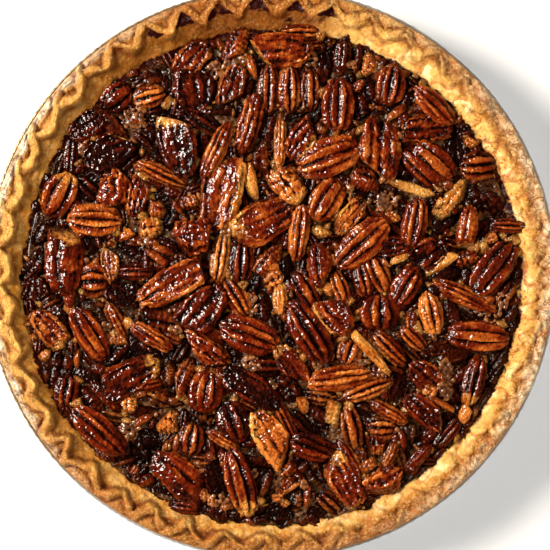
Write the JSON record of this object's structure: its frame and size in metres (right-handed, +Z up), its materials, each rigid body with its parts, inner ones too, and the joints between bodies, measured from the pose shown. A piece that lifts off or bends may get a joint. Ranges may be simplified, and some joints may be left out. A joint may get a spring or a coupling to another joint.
{
  "type": "pecan pie",
  "caption": "Whole round pecan pie in its own foil tin: crimped pastry shell, dark set filling, and pecan halves and broken pieces lying on top.",
  "frame": {"origin": "the middle of the tin's flat base, on the table", "axes": "+Z up through the middle of the pie; +X to the right and +Y away from a person who looks down on it"},
  "size_m": [0.2488, 0.2488, 0.039],
  "materials": {
    "foil": "thin bright foil, finely wrinkled at the rim",
    "pastry": "baked shortcrust, pale gold to light brown, dry and flaky",
    "filling": "dark set syrup, glossy with fine bubbles",
    "pecan": "roasted nut skin glazed with syrup"
  },
  "bodies": {
    "root": {"tin": "foil", "crust": "pastry", "filling": "filling", "pecan_01": "pecan", "pecan_02": "pecan", "pecan_03": "pecan", "pecan_04": "pecan", "pecan_05": "pecan", "pecan_06": "pecan", "pecan_07": "pecan", "pecan_08": "pecan", "pecan_09": "pecan", "pecan_10": "pecan", "pecan_11": "pecan", "pecan_12": "pecan", "pecan_13": "pecan", "pecan_14": "pecan", "pecan_15": "pecan", "pecan_16": "pecan", "pecan_17": "pecan", "pecan_18": "pecan", "pecan_19": "pecan", "pecan_20": "pecan", "pecan_21": "pecan", "pecan_22": "pecan", "pecan_23": "pecan", "pecan_24": "pecan", "pecan_25": "pecan", "pecan_26": "pecan", "pecan_27": "pecan", "pecan_28": "pecan", "pecan_29": "pecan", "pecan_30": "pecan", "pecan_31": "pecan", "pecan_32": "pecan", "pecan_33": "pecan", "pecan_34": "pecan", "pecan_35": "pecan", "pecan_36": "pecan", "pecan_37": "pecan", "pecan_38": "pecan", "pecan_39": "pecan", "pecan_40": "pecan", "pecan_41": "pecan", "pecan_42": "pecan", "pecan_43": "pecan", "pecan_44": "pecan", "pecan_45": "pecan", "pecan_46": "pecan", "pecan_47": "pecan", "pecan_48": "pecan", "pecan_49": "pecan", "pecan_50": "pecan", "pecan_51": "pecan", "pecan_52": "pecan", "pecan_53": "pecan", "pecan_54": "pecan", "pecan_55": "pecan", "pecan_56": "pecan", "pecan_57": "pecan"}
  },
  "joints": []
}
